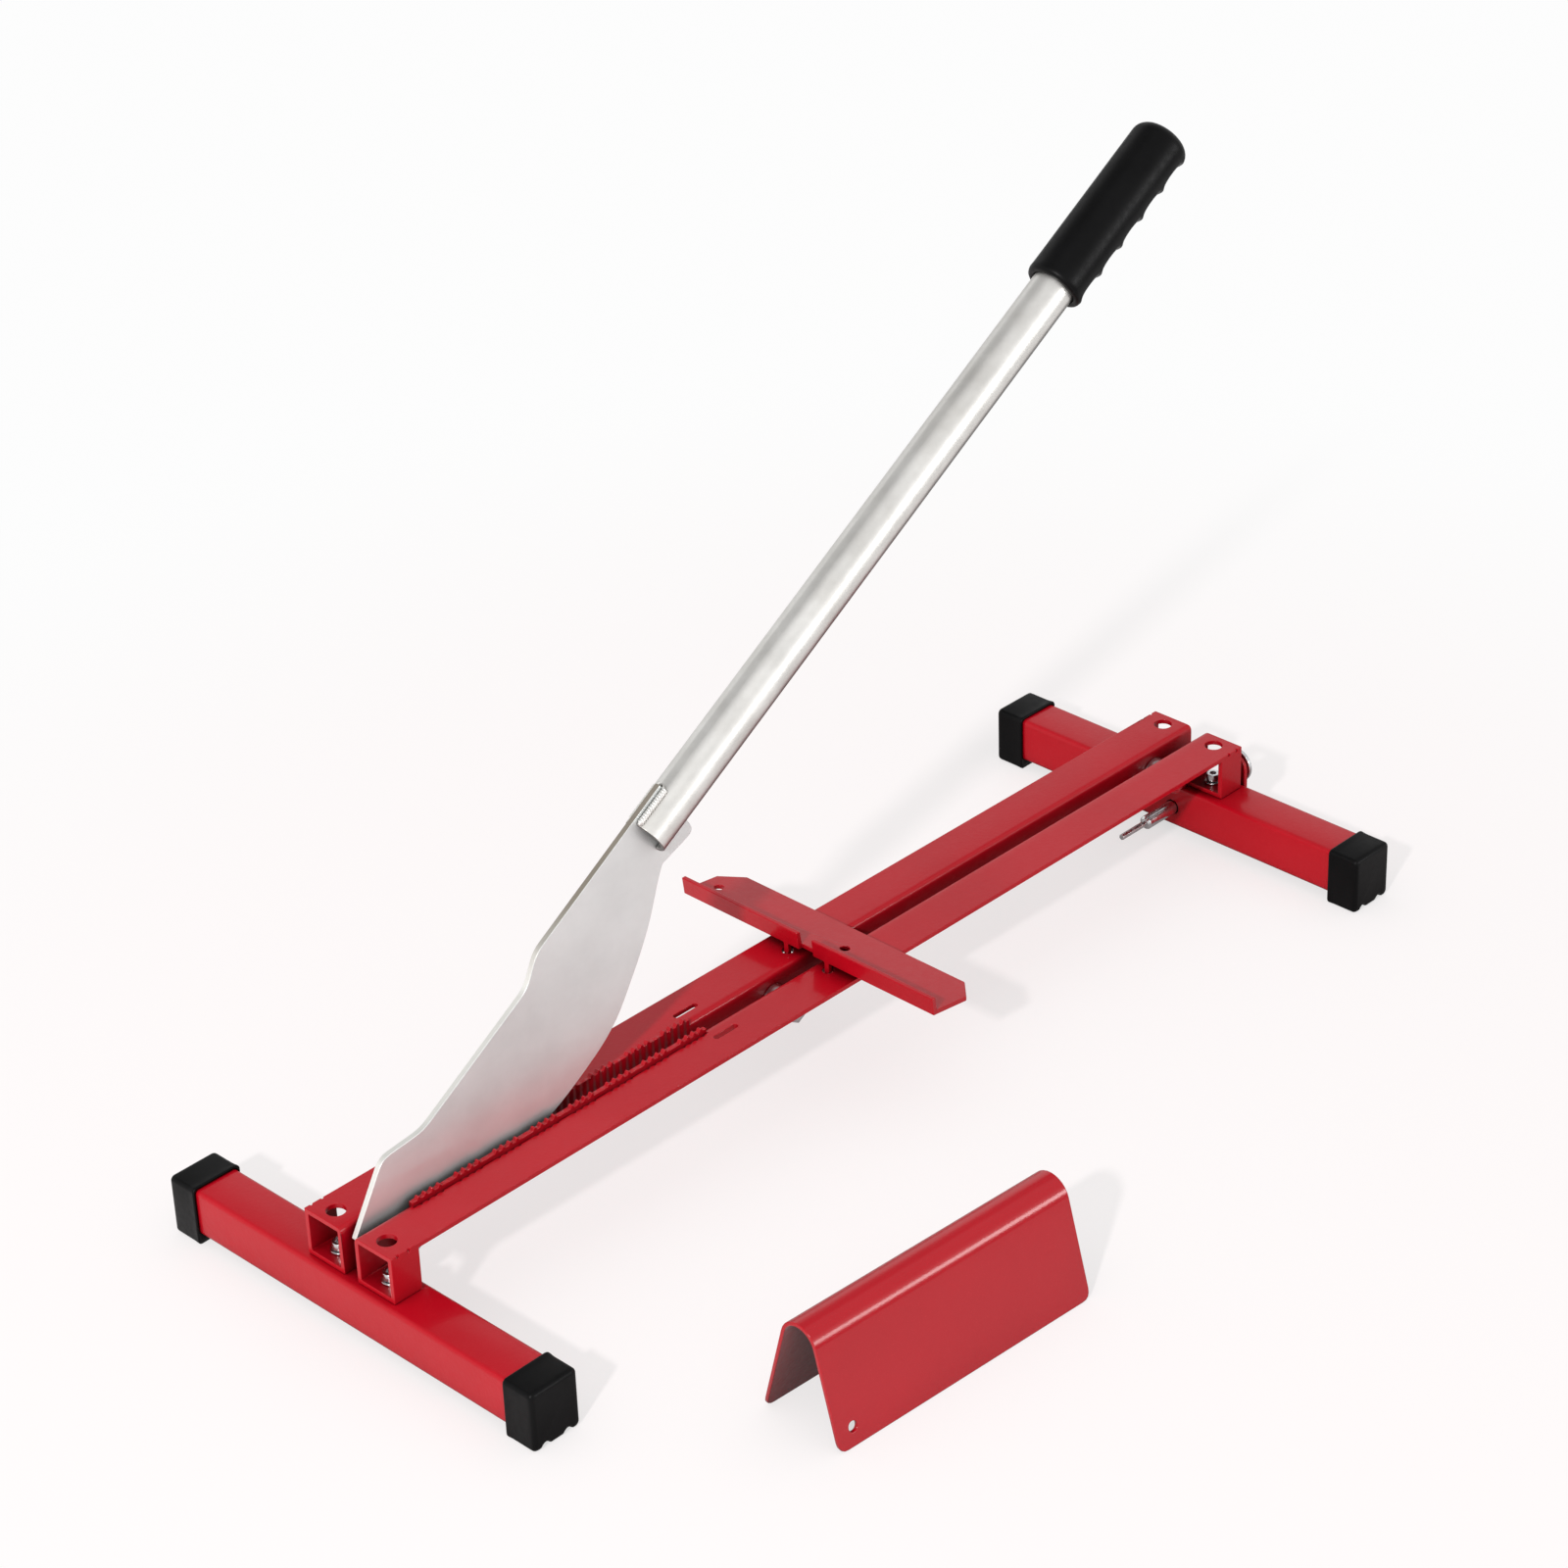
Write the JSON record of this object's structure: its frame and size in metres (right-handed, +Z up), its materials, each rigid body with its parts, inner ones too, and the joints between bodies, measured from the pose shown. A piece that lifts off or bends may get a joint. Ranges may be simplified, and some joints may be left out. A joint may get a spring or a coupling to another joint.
{
  "type": "laminate cutter",
  "caption": "Floor-standing guillotine cutter for laminate boards: a hinged steel blade drops between toothed rails on capped feet, with a lift-out fence and a loose plank support.",
  "frame": {"origin": "on the floor, under the middle of the whole part's extent", "axes": "+X along the rails from the pivot end to the far foot, +Y from the loose support to the rails, +Z up"},
  "size_m": [0.6148, 0.3552, 0.4122],
  "materials": {
    "red_coat": "satin powder coat with fine orange peel",
    "black_plastic": "satin moulded",
    "blank_steel": "dull zinc grey",
    "bright_plate": "bright plated"
  },
  "bodies": {
    "base": {"near_foot_tube": "red_coat", "far_foot_tube": "red_coat", "near_front_cap": "black_plastic", "near_rear_cap": "black_plastic", "far_front_cap": "black_plastic", "far_rear_cap": "black_plastic", "front_rail": "red_coat", "rear_rail": "red_coat", "near_front_screw": "bright_plate", "near_front_washer": "bright_plate", "near_front_nut": "bright_plate", "near_rear_screw": "bright_plate", "near_rear_washer": "bright_plate", "near_rear_nut": "bright_plate", "far_front_screw": "bright_plate", "far_front_washer": "bright_plate", "far_front_nut": "bright_plate", "far_rear_screw": "bright_plate", "far_rear_washer": "bright_plate", "far_rear_nut": "bright_plate", "mid_spacer": "bright_plate", "mid_spacer_bolt": "bright_plate", "mid_spacer_nut": "bright_plate", "far_spacer": "bright_plate", "far_spacer_bolt": "bright_plate", "far_spacer_nut": "bright_plate", "pivot_bolt": "bright_plate", "pivot_nut": "bright_plate", "pivot_rear_washer": "bright_plate", "pivot_front_washer": "bright_plate", "keeper_lug": "red_coat", "keeper_screw": "bright_plate"},
    "arm": {"blade": "blank_steel", "handle_tube": "blank_steel", "rear_weld": "blank_steel", "front_weld": "blank_steel", "handle_grip": "black_plastic"},
    "fence": {"fence": "red_coat"},
    "key": {"socket_key": "bright_plate"},
    "support": {"plank_support": "red_coat"}
  },
  "joints": [
    {"name": "arm_hinge", "type": "hinge", "parent": "base", "child": "arm", "pos_m": [-0.2737, 0.05382, 0.0426], "axis": [0, 1, 0], "range_deg": [-40, 27]},
    {"name": "fence_lift", "type": "slide", "parent": "base", "child": "fence", "axis": [0, 0, 1], "range_m": [0, 0.006]},
    {"name": "key_pull", "type": "slide", "parent": "base", "child": "key", "axis": [1, 0, 0], "range_m": [0, 0.04]},
    {"name": "support_slide", "type": "slide", "parent": "base", "child": "support", "axis": [0, 1, 0], "range_m": [-0.04, 0.04]}
  ]
}
